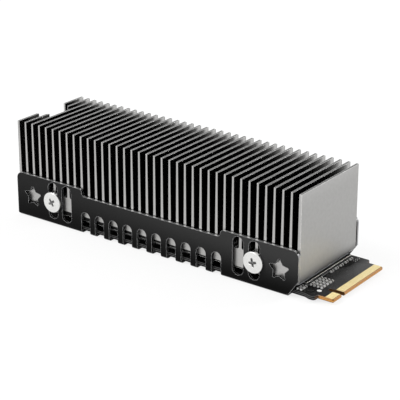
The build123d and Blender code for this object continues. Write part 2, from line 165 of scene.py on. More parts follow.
def slab(
    outline: np.ndarray, height: float, rounding: float, bulge: float = 0.0
) -> tuple[np.ndarray, np.ndarray]:
    """Work out a closed slab on an outline, with rounded upper and lower edges.

    Ring by ring, the outline moves inwards by i and up to z. On the lower edge i = r (1 - sin t) and
    z = r (1 - cos t), on the upper edge the same from above, and a bulge pushes the side out as a sine.

    Args:
        outline: Points of the outline about its middle.
        height: Height of the slab, which stands on z = 0.
        rounding: Radius of the upper and lower edges.
        bulge: How far the middle of the side stands out.

    Returns:
        Points and faces.
    """
    steps = np.linspace(0, math.pi / 2, 4)
    inset = rounding * (1 - np.sin(steps))
    rise = rounding * (1 - np.cos(steps))
    insets = np.concatenate([[np.inf], inset, inset[::-1], [np.inf]])
    levels = np.concatenate([[0], rise, (height - rise)[::-1], [height]])
    sides = insets - bulge * np.sin(math.pi * levels / height)
    half = np.abs(outline).max(axis=0)
    closed = np.isinf(sides)
    shrink = 1 - np.where(closed, 0, sides)[:, None] / half[None, :]
    scale = np.where(closed[:, None], 0.0, shrink)
    rings = outline[None, :, :] * scale[:, None, :]
    heights = np.broadcast_to(levels[:, None, None], (len(levels), len(outline), 1))
    points = np.concatenate([rings, heights], axis=2).reshape(-1, 3)
    return points, grid_faces(len(levels), len(outline))


def welded_copy(node: str, name: str, bevel: float) -> Piece:
    """Copy a CAD node, weld its loose triangles, clear its flat faces and bevel its sharp edges.

    Args:
        node: CAD node to copy.
        name: Name of the copy.
        bevel: Width of the bevel, or 0 for none.

    Returns:
        The copy, which replaces the node.
    """
    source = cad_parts[node].data
    points = np.empty(len(source.vertices) * 3, np.float32)
    source.vertices.foreach_get("co", points)
    corners = np.empty(len(source.loops), np.int32)
    source.loops.foreach_get("vertex_index", corners)
    points = points.reshape(-1, 3)
    _, first, inverse = np.unique(np.round(points * 1e6), axis=0, return_index=True, return_inverse=True)
    faces = inverse.reshape(-1)[corners].reshape(-1, 3)
    whole = (faces[:, 0] != faces[:, 1]) & (faces[:, 1] != faces[:, 2]) & (faces[:, 2] != faces[:, 0])
    mesh = bpy.data.meshes.new(name)
    mesh.from_pydata(points[first].tolist(), [], faces[whole].tolist())
    flat = bmesh.new()
    flat.from_mesh(mesh)
    bmesh.ops.dissolve_limit(flat, angle_limit=math.radians(0.6), verts=flat.verts, edges=flat.edges)
    flat.to_mesh(mesh)
    flat.free()
    mesh.polygons.foreach_set("use_smooth", np.full(len(mesh.polygons), True))
    mesh.set_sharp_from_angle(angle=math.radians(30))
    piece = bpy.data.objects.new(name, mesh)
    bpy.context.scene.collection.objects.link(piece)
    if bevel:
        edge = piece.modifiers.new("edge_bevel", "BEVEL")
        edge.width = bevel * MM
        edge.segments = 2
        edge.limit_method = "ANGLE"
        edge.angle_limit = math.radians(30)
        edge.harden_normals = True
        edge.use_clamp_overlap = True
    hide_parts(node)
    return piece


def box_mm(node: str) -> tuple[np.ndarray, np.ndarray]:
    """Give the lowest and highest corner of a CAD node in millimetres."""
    low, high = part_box(node)
    return np.array(low) / MM, np.array(high) / MM


def block_on(node: str, shape: tuple[np.ndarray, np.ndarray], name: str) -> Piece:
    """Stand one worked-out shape on the middle of the foot of a CAD node's box.

    Args:
        node: CAD node that gives the place.
        shape: Points and faces about the middle of the shape's foot.
        name: Name of the piece.

    Returns:
        The piece, which replaces the node.
    """
    low, high = box_mm(node)
    foot = np.array([[(low[0] + high[0]) / 2, (low[1] + high[1]) / 2, low[2]]])
    piece = new_piece(name, *many(*shape, foot))
    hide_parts(node)
    return piece


# --------------------------------------------------------------------------- shader graphs


class Graph:
    """Adds nodes to one node tree and wires them."""

    def __init__(self, tree: bpy.types.NodeTree) -> None:
        """Take over an empty tree."""
        self.tree = tree
        tree.nodes.clear()

    def feed(self, socket: Socket, value: object) -> None:
        """Link a socket to another, or set it to a value.

        Args:
            socket: Input to feed.
            value: Output to link, or the value to set.
        """
        if isinstance(value, bpy.types.NodeSocket):
            self.tree.links.new(value, socket)
        else:
            socket.default_value = value

    def add(self, kind: str, inputs: dict | None = None, **settings: object) -> bpy.types.Node:
        """Add one node.

        Args:
            kind: Blender's name of the node, without its ShaderNode prefix.
            inputs: Value or source of each input, by its name or number.
            **settings: Properties of the node itself.

        Returns:
            The node.
        """
        node = self.tree.nodes.new(kind if kind.startswith("Node") else "ShaderNode" + kind)
        for name, value in settings.items():
            setattr(node, name, value)
        for name, value in (inputs or {}).items():
            self.feed(node.inputs[name], value)
        return node

    def math(self, operation: str, first: object, second: object = 0.0, clamp: bool = False) -> Socket:
        """Add a Math node and give its result."""
        node = self.add("Math", {0: first, 1: second}, operation=operation, use_clamp=clamp)
        return node.outputs[0]

    def product(self, first: object, *others: object) -> Socket:
        """Multiply two or more values.

        Args:
            first: First value or source.
            *others: The other values or sources.

        Returns:
            Their product.
        """
        for other in others:
            first = self.math("MULTIPLY", first, other)
        return first

    def distance(self, value: Socket, middle: float = 0.0) -> Socket:
        """Give how far a value lies from a middle."""
        return self.math("ABSOLUTE", self.math("SUBTRACT", value, middle))

    def rise(self, value: Socket, low: float, high: float) -> Socket:
        """Give 0 below low and 1 above high, with a smooth step between them; the other way if low > high."""
        inputs = {"Value": value, "From Min": low, "From Max": high}
        return self.add("MapRange", inputs, interpolation_type="SMOOTHSTEP").outputs["Result"]

    def between(self, value: Socket, low: float, high: float) -> Socket:
        """Stretch a value in 0..1 to low..high."""
        node = self.add("MapRange", {"Value": value, "To Min": low, "To Max": high})
        return node.outputs["Result"]

    def blend(self, factor: object, first: object, second: object) -> Socket:
        """Mix two colours and give the result.

        Args:
            factor: 0 for the first colour, 1 for the second.
            first: A colour or its source.
            second: A colour or its source.

        Returns:
            The mixed colour.
        """
        node = self.add("Mix", {0: factor}, data_type="RGBA", clamp_factor=True)
        self.feed(node.inputs[6], first if isinstance(first, bpy.types.NodeSocket) else (*first, 1.0))
        self.feed(node.inputs[7], second if isinstance(second, bpy.types.NodeSocket) else (*second, 1.0))
        return node.outputs[2]

    def place(self) -> tuple[Socket, Socket, Socket, Socket]:
        """Give the place on the object in millimetres: the vector, then its X, Y and Z.

        Returns:
            The vector and its three parts.
        """
        where = self.add("TexCoord").outputs["Object"]
        scaled = self.add("VectorMath", {0: where, 1: (1 / MM,) * 3}, operation="MULTIPLY").outputs[0]
        parts = self.add("SeparateXYZ", {0: scaled}).outputs
        return scaled, parts[0], parts[1], parts[2]

    def facing(self) -> tuple[Socket, Socket, Socket]:
        """Give how far the surface faces along X, Y and Z, each without its sign except Z."""
        parts = self.add("SeparateXYZ", {0: self.add("NewGeometry").outputs["True Normal"]}).outputs
        return self.math("ABSOLUTE", parts[0]), self.math("ABSOLUTE", parts[1]), parts[2]

    def effect(self, group: bpy.types.NodeTree, **inputs: object) -> bpy.types.NodeSocket:
        """Place a shared effect and give its outputs.

        Args:
            group: Node group of the effect.
            **inputs: Value or source of its inputs, by their names in small letters.

        Returns:
            The outputs of the group node.
        """
        node = self.tree.nodes.new("ShaderNodeGroup")
        node.node_tree = group
        for name, value in inputs.items():
            self.feed(node.inputs[name.replace("_", " ").capitalize()], value)
        return node.outputs


class Effects:
    """The node groups that several finishes share. Each reads Object coordinates and is built once."""

    def __init__(self) -> None:
        """Build the four groups."""
        self.grain = self.build_grain()
        self.streaks = self.build_streaks()
        self.wear_and_highlight = self.build_wear_and_highlight()
        self.dust = self.build_dust()

    @staticmethod
    def start(name: str, inputs: dict[str, object], outputs: list[str]) -> tuple[Graph, dict, bpy.types.Node]:
        """Open a group with named inputs and float outputs.

        Args:
            name: Name of the group.
            inputs: Default of each input; a triple makes a vector input.
            outputs: Names of the outputs.

        Returns:
            The graph, the input sockets by name and the output node.
        """
        tree = bpy.data.node_groups.new(name, "ShaderNodeTree")
        for title, default in inputs.items():
            kind = "NodeSocketVector" if isinstance(default, tuple) else "NodeSocketFloat"
            tree.interface.new_socket(title, in_out="INPUT", socket_type=kind).default_value = default
        for title in outputs:
            tree.interface.new_socket(title, in_out="OUTPUT", socket_type="NodeSocketFloat")
        graph = Graph(tree)
        given = {socket.name: socket for socket in graph.add("NodeGroupInput").outputs if socket.name}
        return graph, given, graph.add("NodeGroupOutput")

    def build_grain(self) -> bpy.types.NodeTree:
        """Fine even grain: noise at the grain's size, and a slow tone eight times as wide.

        Returns:
            The node group.
        """
        graph, given, out = self.start("fine_grain", {"Size": 0.1}, ["Height", "Tone"])
        where = graph.place()[0]
        rate = graph.math("DIVIDE", 1.0, given["Size"])
        fine = graph.add("TexNoise", {"Vector": where, "Scale": rate, "Detail": 3.0, "Roughness": 0.6})
        slow_rate = graph.math("MULTIPLY", rate, 0.12)
        slow = graph.add("TexNoise", {"Vector": where, "Scale": slow_rate, "Detail": 2.0})
        graph.feed(out.inputs["Height"], graph.rise(fine.outputs[0], 0.28, 0.72))
        graph.feed(out.inputs["Tone"], graph.rise(slow.outputs[0], 0.3, 0.7))
        return graph.tree

    def build_streaks(self) -> bpy.types.NodeTree:
        """Drawn or sawn lines: noise whose rate differs along each axis, in lines per millimetre.

        Returns:
            The node group.
        """
        graph, given, out = self.start("drawn_streaks", {"Rate": (4.0, 0.05, 4.0)}, ["Height"])
        where = graph.add("VectorMath", {0: graph.place()[0], 1: given["Rate"]}, operation="MULTIPLY")
        noise = {"Vector": where.outputs[0], "Scale": 1.0, "Detail": 4.0, "Roughness": 0.65}
        lines = graph.add("TexNoise", noise)
        graph.feed(out.inputs["Height"], graph.rise(lines.outputs[0], 0.3, 0.7))
        return graph.tree

    def build_wear_and_highlight(self) -> bpy.types.NodeTree:
        """Rubbed edges and painted edge highlights: how far the bevelled normal leans from the flat one,
        broken up by noise.

        Returns:
            The node group.
        """
        graph, given, out = self.start("edge_wear_and_highlight", {"Radius": 0.1, "Breakup": 0.3}, ["Mask"])
        radius = graph.math("MULTIPLY", given["Radius"], MM)
        soft = graph.add("Bevel", {"Radius": radius}, samples=4).outputs[0]
        flat = graph.add("NewGeometry").outputs["True Normal"]
        same = graph.add("VectorMath", {0: soft, 1: flat}, operation="DOT_PRODUCT").outputs["Value"]
        lean = graph.rise(graph.math("SUBTRACT", 1.0, same), 0.01, 0.12)
        patch = graph.add("TexNoise", {"Vector": graph.place()[0], "Scale": 1.6, "Detail": 3.0}).outputs[0]
        gap = graph.math("MULTIPLY", graph.rise(patch, 0.62, 0.4), given["Breakup"])
        left = graph.math("SUBTRACT", 1.0, gap)
        graph.feed(out.inputs["Mask"], graph.math("MULTIPLY", lean, left, clamp=True))
        return graph.tree

    def build_dust(self) -> bpy.types.NodeTree:
        """Thin dust: patches of noise that lie on faces turned upwards.

        Returns:
            The node group.
        """
        graph, given, out = self.start("settled_dust", {"Amount": 0.1}, ["Mask"])
        up = graph.rise(graph.facing()[2], 0.3, 0.95)
        noise = {"Vector": graph.place()[0], "Scale": 0.9, "Detail": 5.0, "Roughness": 0.7}
        patch = graph.add("TexNoise", noise).outputs[0]
        cover = graph.math("MULTIPLY", up, graph.rise(patch, 0.35, 0.75))
        graph.feed(out.inputs["Mask"], graph.math("MULTIPLY", cover, given["Amount"], clamp=True))
        return graph.tree


EFFECTS = Effects()


# --------------------------------------------------------------------------- finishes


@dataclass(frozen=True)
class Finish:
    """A grained finish with worn edges, painted edge highlights and a little dust; the base of all the
    others.

    The colour moves between colour and shade with the slow tone, goes to worn on the edges, which on the
    block, the bracket and the packages is a painted highlight, and to pale dust on top. The relief is the
    fine grain, in millimetres.
    """

    slot: str
    colour: Colour
    shade: Colour
    worn_and_highlight: Colour
    metallic: float = 0.0
    roughness: tuple[float, float] = (0.4, 0.55)
    specular: float = 0.5
    grain: float = 0.1
    relief: float = 0.003
    wear_and_highlight: float = 0.5
    wear_and_highlight_radius: float = 0.08
    dust: float = 0.04
    dust_colour: Colour = (0.45, 0.44, 0.42)

    def paint(self, graph: Graph, base: Socket) -> Socket:
        """Give the colour over the plain grained one; other finishes add their marks here."""
        return base

    def cover(self, graph: Graph, base: Socket) -> Socket:
        """Give the colour over wear, painted edge highlights and dust; a finish adds here what none of them
        may lighten.
        """
        return base

    def metal(self, graph: Graph) -> object:
        """Give how metallic the surface is."""
        return self.metallic

    def height(self, graph: Graph, grain: Socket) -> Socket:
        """Give the relief in millimetres."""
        return graph.math("MULTIPLY", grain, self.relief)

    def rough(self, graph: Graph, grain: Socket) -> Socket:
        """Give the roughness."""
        return graph.between(grain, *self.roughness)

    def build(self) -> bpy.types.Material:
        """Wire the material and give it.

        Returns:
            The finished material.
        """
        material = bpy.data.materials.new(self.slot)
        material.use_nodes = True
        graph = Graph(material.node_tree)
        grain = graph.effect(EFFECTS.grain, size=self.grain)
        base = graph.blend(grain["Tone"], self.colour, self.shade)
        base = self.paint(graph, base)
        # Edge wear; on the block, the bracket and the packages this is a painted edge highlight.
        edge = graph.effect(EFFECTS.wear_and_highlight, radius=self.wear_and_highlight_radius)["Mask"]
        base = graph.blend(graph.math("MULTIPLY", edge, self.wear_and_highlight), base, self.worn_and_highlight)
        dust = graph.effect(EFFECTS.dust, amount=self.dust)["Mask"]
        base = self.cover(graph, graph.blend(dust, base, self.dust_colour))
        shader = graph.add(
            "BsdfPrincipled",
            {
                "Base Color": base,
                "Metallic": self.metal(graph),
                "Roughness": self.rough(graph, grain["Height"]),
                "Specular IOR Level": self.specular,
            },
        )
        relief = graph.math("MULTIPLY", self.height(graph, grain["Height"]), MM)
        bump = graph.add("Bump", {"Height": relief, "Distance": 1.0, "Strength": 1.0})
        graph.feed(shader.inputs["Normal"], bump.outputs[0])
        graph.feed(graph.add("OutputMaterial").inputs["Surface"], shader.outputs[0])
        return material


@dataclass(frozen=True)
class ExtrudedAluminium(Finish):
    """Extruded block: die lines along Y on the skin, brighter sawn ends, blasted end face, and painted shade
    on the fin tips, in the channels, at the fin roots and low on the end plates.
    """

    sawn: Colour = (0.50, 0.495, 0.485)
    sawn_shade: float = 0.9
    dark_band: Colour = (0.012, 0.012, 0.012)
    margin_dark: Colour = (0.02, 0.02, 0.02)
    tip: Colour = (0.13, 0.129, 0.126)
    tip_level: float = 22.0
    sawn_roughness: float = 0.30
    dark_band_slope: float = 0.0165
    blasted_from: float = 33.65
    blasted_roughness: float = 0.42
    line_relief: float = 0.002
    foot_level: float = 2.7
    foot_shade_reach: float = 2.6
    foot_shade_share: float = 0.45
    middle: float = -3.6
    inner_half: float = 37.0
    first_fin: float = -40.6
    pitch: float = 2.0
    draft: float = 0.00822
    light_half: float = 0.31
    end_half: float = 10.8
    floor_level: float = 6.9
    root_level: float = 8.6
    root_shade_share: float = 0.3
    channel_shade_reach: tuple[float, float] = (10.1, 8.9)
    channel_shade_share: float = 0.36

    def paint(self, graph: Graph, base: Socket) -> Socket:
        """Lay the sawn ends and the fin tips over the extruded skin, with painted shade on the tips, in the
        channels, at the fin roots and low on the end plates.

        Args:
            graph: Graph of the material.
            base: Colour so far.

        Returns:
            The colour with the block's marks.
        """
        along_x, along_y, up = graph.facing()
        _, along, across, level = graph.place()
        off_middle = graph.distance(along, self.middle)
        between_ends = graph.rise(off_middle, self.inner_half + 0.1, self.inner_half)
        # Painted shade in the channels between the fins: their flanks are darkened deep inside the block.
        deep = graph.rise(graph.distance(across), *self.channel_shade_reach)
        channel_shade = graph.product(graph.rise(along_x, *ALONG_AXIS), between_ends, deep)
        base = self.darken(graph, base, channel_shade, self.channel_shade_share)
        # Painted shade at the roots of the fins, just above the channel floors.
        root_shade = graph.product(graph.rise(level, self.root_level, self.floor_level), between_ends)
        base = self.darken(graph, base, root_shade, self.root_shade_share)
        # Painted shade and reflection low on the end plates, darker towards their foot.
        at_ends = graph.rise(off_middle, self.inner_half + 0.1, self.inner_half + 0.2)
        foot = graph.product(graph.rise(level, self.foot_level + self.foot_shade_reach, self.foot_level), at_ends)
        base = self.darken(graph, base, foot, self.foot_shade_share)
        # Below a line that climbs towards the rear, the sawn ends are left dark; above it they show the saw
        # marks.
        slant = graph.product(graph.math("SUBTRACT", self.blasted_from, along), self.dark_band_slope)
        above = graph.math("SUBTRACT", level, slant)
        saw = graph.effect(EFFECTS.streaks, rate=(0.6, 1.0, 7.0))["Height"]
        cut = graph.blend(saw, self.sawn, tuple(self.sawn_shade * part for part in self.sawn))
        over_dark_band = graph.rise(above, self.foot_level - 0.04, self.foot_level + 0.06)
        sawn = graph.blend(over_dark_band, self.dark_band, cut)
        base = graph.blend(graph.rise(along_y, *ALONG_AXIS), base, sawn)
        # Painted shade on the fin tips: the tip colour keeps them darker than the skin.
        on_tips = graph.rise(level, self.tip_level - 0.1, self.tip_level)
        shaded_tips = graph.product(graph.rise(up, *ALONG_AXIS), on_tips)
        return graph.blend(shaded_tips, base, self.tip)

    def darken(self, graph: Graph, base: Socket, mask: Socket, share: float) -> Socket:
        """Lay painted shade, a share of the block's own colour, over the base where the mask is."""
        return graph.blend(mask, base, tuple(share * part for part in self.colour))

    def cover(self, graph: Graph, base: Socket) -> Socket:
        """Lay a narrow dark margin along both sides of each fin's sawn end.

        The distance to the nearest fin's middle is the pitch times the distance of X over pitch from a
        whole number; the margin starts a little inside the fin's half thickness, which shrinks upwards.

        Args:
            graph: Graph of the material.
            base: Colour so far.

        Returns:
            The colour with the dark margins.
        """
        _, along, across, level = graph.place()
        count = graph.math("DIVIDE", graph.math("SUBTRACT", along, self.first_fin), self.pitch)
        apart = graph.math("ABSOLUTE", graph.math("SUBTRACT", count, graph.math("ROUND", count)))
        climb = graph.product(graph.math("SUBTRACT", level, self.floor_level), self.draft)
        inside = graph.math("ADD", graph.product(apart, self.pitch), climb)
        margin = graph.rise(inside, self.light_half, self.light_half + 0.02)
        near_end = graph.rise(graph.distance(across), self.end_half - 0.12, self.end_half - 0.08)
        above = graph.rise(level, self.floor_level + 0.1, self.floor_level + 0.4)
        not_front = graph.rise(along, self.blasted_from - 0.5, self.blasted_from - 0.6)
        return graph.blend(graph.product(margin, near_end, above, not_front), base, self.margin_dark)

    def rough(self, graph: Graph, grain: Socket) -> Socket:
        """Make the front end face and the sawn ends rougher than the drawn skin.

        Args:
            graph: Graph of the material.
            grain: Fine grain, 0 to 1.

        Returns:
            The roughness.
        """
        on_front = graph.rise(graph.place()[1], self.blasted_from, self.blasted_from + 0.05)
        blasted = graph.product(on_front, self.blasted_roughness)
        sawn = graph.product(graph.rise(graph.facing()[1], *ALONG_AXIS), self.sawn_roughness)
        return graph.math("ADD", graph.between(grain, *self.roughness), graph.math("MAXIMUM", blasted, sawn))

    def height(self, graph: Graph, grain: Socket) -> Socket:
        """Add faint die lines to the blasted grain."""
        lines = graph.effect(EFFECTS.streaks, rate=(5.0, 0.04, 5.0))["Height"]
        return graph.math("ADD", graph.product(grain, self.relief), graph.product(lines, self.line_relief))


@dataclass(frozen=True)
class BlackSheet(Finish):
    """Black satin sheet with painted light on its coat, whose cut edges show greyer metal."""

    cut: Colour = (0.50, 0.50, 0.505)
    cut_end: Colour = (0.32, 0.32, 0.325)
    inside: Colour = (0.004, 0.004, 0.004)
    middle: float = -3.6
    half_length: float = 37.5
    lit_coat_rear_low: float = 0.002
    lit_coat_rear_top: float = 0.014
    lit_coat_front_low: float = 0.001
    lit_coat_front_top: float = 0.033
    bend_level: float = 0.75
    top_start: float = 8.5
    plate_half_width: float = 10.8
    bare_metal: float = 0.9

    def cut_mask(self, graph: Graph) -> Socket:
        """Give 1 on the cut edges: faces along X, wall faces off Y, and plate faces off Z.

        Args:
            graph: Graph of the material.

        Returns:
            The mask, 0 to 1.
        """
        along_x, along_y, up = graph.facing()
        _, _, across, level = graph.place()
        above_bend = graph.rise(level, self.bend_level, self.bend_level + 0.02)
        wall = graph.product(above_bend, graph.rise(along_y, *OFF_AXIS))
        inside = graph.rise(graph.distance(across), self.plate_half_width + 0.02, self.plate_half_width)
        below_bend = graph.rise(level, self.bend_level, self.bend_level - 0.02)
        plate = graph.product(inside, graph.rise(graph.distance(up), *OFF_AXIS), below_bend)
        edge = graph.math("MAXIMUM", graph.rise(along_x, *CUT_ACROSS), graph.math("MAXIMUM", wall, plate))
        return graph.math("MULTIPLY", edge, 1.0, clamp=True)

    def paint(self, graph: Graph, base: Socket) -> Socket:
        """Paint light and shade on the coat, lighter upwards and forwards, and lay the cut edges over it.

        Args:
            graph: Graph of the material.
            base: Colour so far.

        Returns:
            The colour of coat and cut edges.
        """
        _, along, _, level = graph.place()
        # Painted light and shade: the coat is darker low down, lighter high up, most of all towards the
        # front.
        high = graph.rise(level, 0.5, 9.5)
        rear = graph.blend(high, (self.lit_coat_rear_low,) * 3, (self.lit_coat_rear_top,) * 3)
        front = graph.blend(high, (self.lit_coat_front_low,) * 3, (self.lit_coat_front_top,) * 3)
        base = graph.blend(graph.rise(along, -41.0, 34.0), rear, front)
        sideways = graph.blend(self.at_end(graph), self.inside, self.cut_end)
        upward = graph.blend(graph.rise(level, self.top_start, self.top_start + 0.1), self.inside, self.cut)
        cut = graph.blend(graph.rise(graph.facing()[0], *CUT_ACROSS), upward, sideways)
        return graph.blend(self.cut_mask(graph), base, cut)

    def at_end(self, graph: Graph) -> Socket:
        """Give 1 on the outer ends of the bracket along X."""
        off_middle = graph.distance(graph.place()[1], self.middle)
        return graph.rise(off_middle, self.half_length - 0.4, self.half_length - 0.3)

    def metal(self, graph: Graph) -> Socket:
        """Only the wall tops and the outer ends are bare metal; the insides of the openings are coated.

        Args:
            graph: Graph of the material.

        Returns:
            How metallic the surface is.
        """
        sideways = graph.rise(graph.facing()[0], *CUT_ACROSS)
        high = graph.rise(graph.place()[3], self.top_start, self.top_start + 0.1)
        top = graph.product(graph.math("SUBTRACT", 1.0, sideways), high)
        bare = graph.math("ADD", graph.product(sideways, self.at_end(graph)), top)
        return graph.product(self.cut_mask(graph), self.bare_metal, bare)


@dataclass(frozen=True)
class BoardMask(Finish):
    """Black solder mask with painted light towards the far side and painted shade towards the block, with
    copper-coloured routed edges round the connector tongue.
    """

    copper: Colour = (0.54, 0.185, 0.018)
    core: Colour = (0.54, 0.33, 0.12)
    bevelled: Colour = (0.135, 0.070, 0.027)
    side_line: Colour = (0.20, 0.20, 0.20)
    laminate: Colour = (0.70, 0.55, 0.27)
    laminate_start: float = 39.1
    lip: Colour = (0.20, 0.105, 0.035)
    lip_start: float = 40.8
    light: Colour = (0.075, 0.075, 0.076)
    painted_light_reach: tuple[float, float] = (-6.0, 11.0)
    block_shade: Colour = (0.002, 0.002, 0.002)
    block_shade_reach: tuple[float, float] = (37.8, 34.8)
    key_shade: Colour = (0.07, 0.03, 0.008)
    edge_metal: float = 0.65
    key_middle: float = -6.125
    key_half: float = 0.62
    tongue_start: float = 37.4
    middle_level: float = 1.0
    top_level: float = 1.404

    def edge_mask(self, graph: Graph) -> Socket:
        """Give 1 on side faces and bevels of the tongue, fading in over its first half millimetre.

        Args:
            graph: Graph of the material.

        Returns:
            The mask, 0 to 1.
        """
        _, along, _, level = graph.place()
        off_top = graph.rise(graph.distance(graph.facing()[2]), *OFF_TOP)
        under_top = graph.rise(level, self.top_level, self.top_level - 0.004)
        on_tongue = graph.rise(along, self.tongue_start - 0.2, self.tongue_start + 0.7)
        return graph.product(off_top, under_top, on_tongue)

    def paint(self, graph: Graph, base: Socket) -> Socket:
        """Lay the copper-coloured edges over the mask, with a paler core line half way up.

        Painted light makes the mask lighter towards the far side and painted shade makes it darker towards
        the block; the mask ends where the contacts stand on bare laminate.

        Args:
            graph: Graph of the material.
            base: Colour so far.

        Returns:
            The colour with the board's marks.
        """
        _, along, across, level = graph.place()
        # Painted light towards the far side, then painted shade in a band towards the block.
        base = graph.blend(graph.rise(across, *self.painted_light_reach), base, self.light)
        base = graph.blend(graph.rise(along, *self.block_shade_reach), base, self.block_shade)
        bare = graph.rise(along, self.laminate_start - 0.02, self.laminate_start + 0.02)
        base = graph.blend(bare, base, self.laminate)
        lip = graph.rise(along, self.lip_start - 0.02, self.lip_start + 0.02)
        base = graph.blend(lip, base, self.lip)
        up = graph.distance(graph.facing()[2])
        off_top = graph.rise(up, *OFF_TOP)
        rim = graph.product(off_top, graph.rise(level, self.top_level - 0.10, self.top_level - 0.02))
        base = graph.blend(rim, base, self.side_line)
        off_middle = graph.distance(level, self.middle_level)
        fibre = graph.effect(EFFECTS.streaks, rate=(0.8, 0.8, 14.0))["Height"]
        tone = graph.blend(fibre, self.copper, tuple(0.8 * part for part in self.copper))
        tone = graph.blend(graph.rise(off_middle, 0.12, 0.04), tone, self.core)
        in_key = graph.rise(graph.distance(across, self.key_middle), self.key_half + 0.02, self.key_half)
        tone = graph.blend(in_key, tone, self.key_shade)
        tone = graph.blend(graph.rise(up, 0.3, 0.5), tone, self.bevelled)
        stripe = graph.product(off_top, graph.rise(off_middle, 0.14, 0.06))
        base = graph.blend(stripe, base, tuple(0.4 * part for part in self.side_line))
        return graph.blend(self.edge_mask(graph), base, tone)

    def metal(self, graph: Graph) -> Socket:
        """The tongue's edges are a little metallic."""
        return graph.product(self.edge_mask(graph), self.edge_metal)


@dataclass(frozen=True)
class Plated(Finish):
    """Plated or rolled metal with fine turned lines, and painted shade where the recess attribute says."""

    lines: tuple[float, float, float] = (3.0, 3.0, 3.0)
    line_relief: float = 0.0015
    recess_shade: Colour = (0.10, 0.10, 0.10)

    def paint(self, graph: Graph, base: Socket) -> Socket:
        """Paint shade into a recess."""
        recess = graph.add("Attribute", attribute_name="recess", attribute_type="GEOMETRY").outputs["Fac"]
        return graph.blend(recess, base, self.recess_shade)

    def height(self, graph: Graph, grain: Socket) -> Socket:
        """Add the rolled lines to the grain."""
        turned = graph.effect(EFFECTS.streaks, rate=self.lines)["Height"]
        return graph.math("ADD", graph.product(grain, self.relief), graph.product(turned, self.line_relief))


FINISHES = {
    finish.slot: finish.build()
    for finish in (
        # On the block, the worn colour on the bevelled edges is a painted highlight.
        ExtrudedAluminium(
            "block_aluminium", (0.43, 0.427, 0.42), (0.41, 0.407, 0.40), (0.86, 0.855, 0.84), metallic=1.0,
            roughness=(0.10, 0.17), grain=0.09, relief=0.0016, wear_and_highlight=1.0, wear_and_highlight_radius=0.16, dust=0.0,
        ),
        # On the bracket, the worn colour on the sheet's edges is a painted highlight.
        BlackSheet(
            "bracket_black", (0.009, 0.009, 0.0092), (0.007, 0.007, 0.0072), (0.55, 0.55, 0.555),
            roughness=(0.30, 0.42), specular=0.05, grain=0.07, relief=0.0025,
            wear_and_highlight=1.0, wear_and_highlight_radius=0.12, dust=0.0,
        ),
        Plated(
            "screw_plated", (0.80, 0.80, 0.785), (0.76, 0.76, 0.745), (0.93, 0.93, 0.92), metallic=1.0,
            roughness=(0.22, 0.3), grain=0.12, relief=0.0008, wear_and_highlight=0.6, dust=0.0,
        ),
        Finish(
            "pad_silicone", (0.36, 0.37, 0.39), (0.31, 0.32, 0.34), (0.42, 0.43, 0.45),
            roughness=(0.55, 0.75), grain=0.15, relief=0.006, wear_and_highlight=0.2,
        ),
        Finish(
            "film_black", (0.02, 0.02, 0.022), (0.015, 0.015, 0.016), (0.05, 0.05, 0.052),
            roughness=(0.25, 0.35), grain=0.2, relief=0.001, wear_and_highlight=0.2,
        ),
        BoardMask(
            "board_mask", (0.010, 0.010, 0.011), (0.007, 0.007, 0.008), (0.10, 0.10, 0.10),
            roughness=(0.26, 0.36), specular=0.05, grain=0.12, relief=0.0015,
            wear_and_highlight=0.6, wear_and_highlight_radius=0.05, dust=0.01,
        ),
        Plated(
            "contact_gold", (0.98, 0.85, 0.47), (0.96, 0.82, 0.43), (1.0, 0.9, 0.62), metallic=0.8,
            roughness=(0.28, 0.36), grain=0.08, relief=0.0006, wear_and_highlight=0.3, dust=0.0, lines=(0.5, 9.0, 1.0),
        ),
        Finish(
            "solder_tin", (0.95, 0.95, 0.94), (0.90, 0.90, 0.89), (0.98, 0.98, 0.97), metallic=0.3,
            roughness=(0.18, 0.34), grain=0.16, relief=0.006, wear_and_highlight=0.3, dust=0.0,
        ),
        Finish(
            "capacitor_ceramic", (0.03, 0.024, 0.02), (0.022, 0.018, 0.015), (0.10, 0.08, 0.065),
            roughness=(0.4, 0.55), grain=0.06, relief=0.002,
        ),
        Finish(
            "resistor_black", (0.02, 0.02, 0.022), (0.015, 0.015, 0.016), (0.2, 0.2, 0.2),
            roughness=(0.3, 0.45), grain=0.05, relief=0.001,
        ),
        Finish(
            "inductor_ferrite", (0.06, 0.062, 0.065), (0.04, 0.041, 0.043), (0.13, 0.13, 0.135),
            roughness=(0.5, 0.7), grain=0.07, relief=0.006,
        ),
        Plated(
            "oscillator_can", (0.72, 0.70, 0.66), (0.66, 0.64, 0.60), (0.86, 0.85, 0.82), metallic=1.0,
            roughness=(0.22, 0.34), grain=0.1, relief=0.001, lines=(0.4, 8.0, 1.0),
        ),
        # On the packages, the worn colour on the edges is a painted highlight.
        Finish(
            "package_black", (0.012, 0.012, 0.0125), (0.009, 0.009, 0.0095), (0.85, 0.85, 0.85),
            roughness=(0.42, 0.58), grain=0.06, relief=0.004, wear_and_highlight=1.0, wear_and_highlight_radius=0.12,
        ),
    )
}


def dress(piece: Piece, slot: str, body: str) -> Piece:
    """Give a piece its finish, its slot and the body it moves with.

    Args:
        piece: The piece, in place.
        slot: Material slot of the record.
        body: CAD body that carries the piece.

    Returns:
        The same piece.
    """
    piece.data.materials.clear()
    piece.data.materials.append(FINISHES[slot])
    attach(piece, body)
    LOG.info("%s: %s on %s", piece.name, slot, body)
    return piece


def dress_node(node: str, slot: str) -> None:
    """Give a CAD node that stays in view its finish.

    Args:
        node: The CAD node.
        slot: Material slot of the record.
    """
    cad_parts[node].data.materials.clear()
    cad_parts[node].data.materials.append(FINISHES[slot])
    LOG.info("%s: CAD shape kept, %s", node, slot)


# --------------------------------------------------------------------------- sub-assemblies


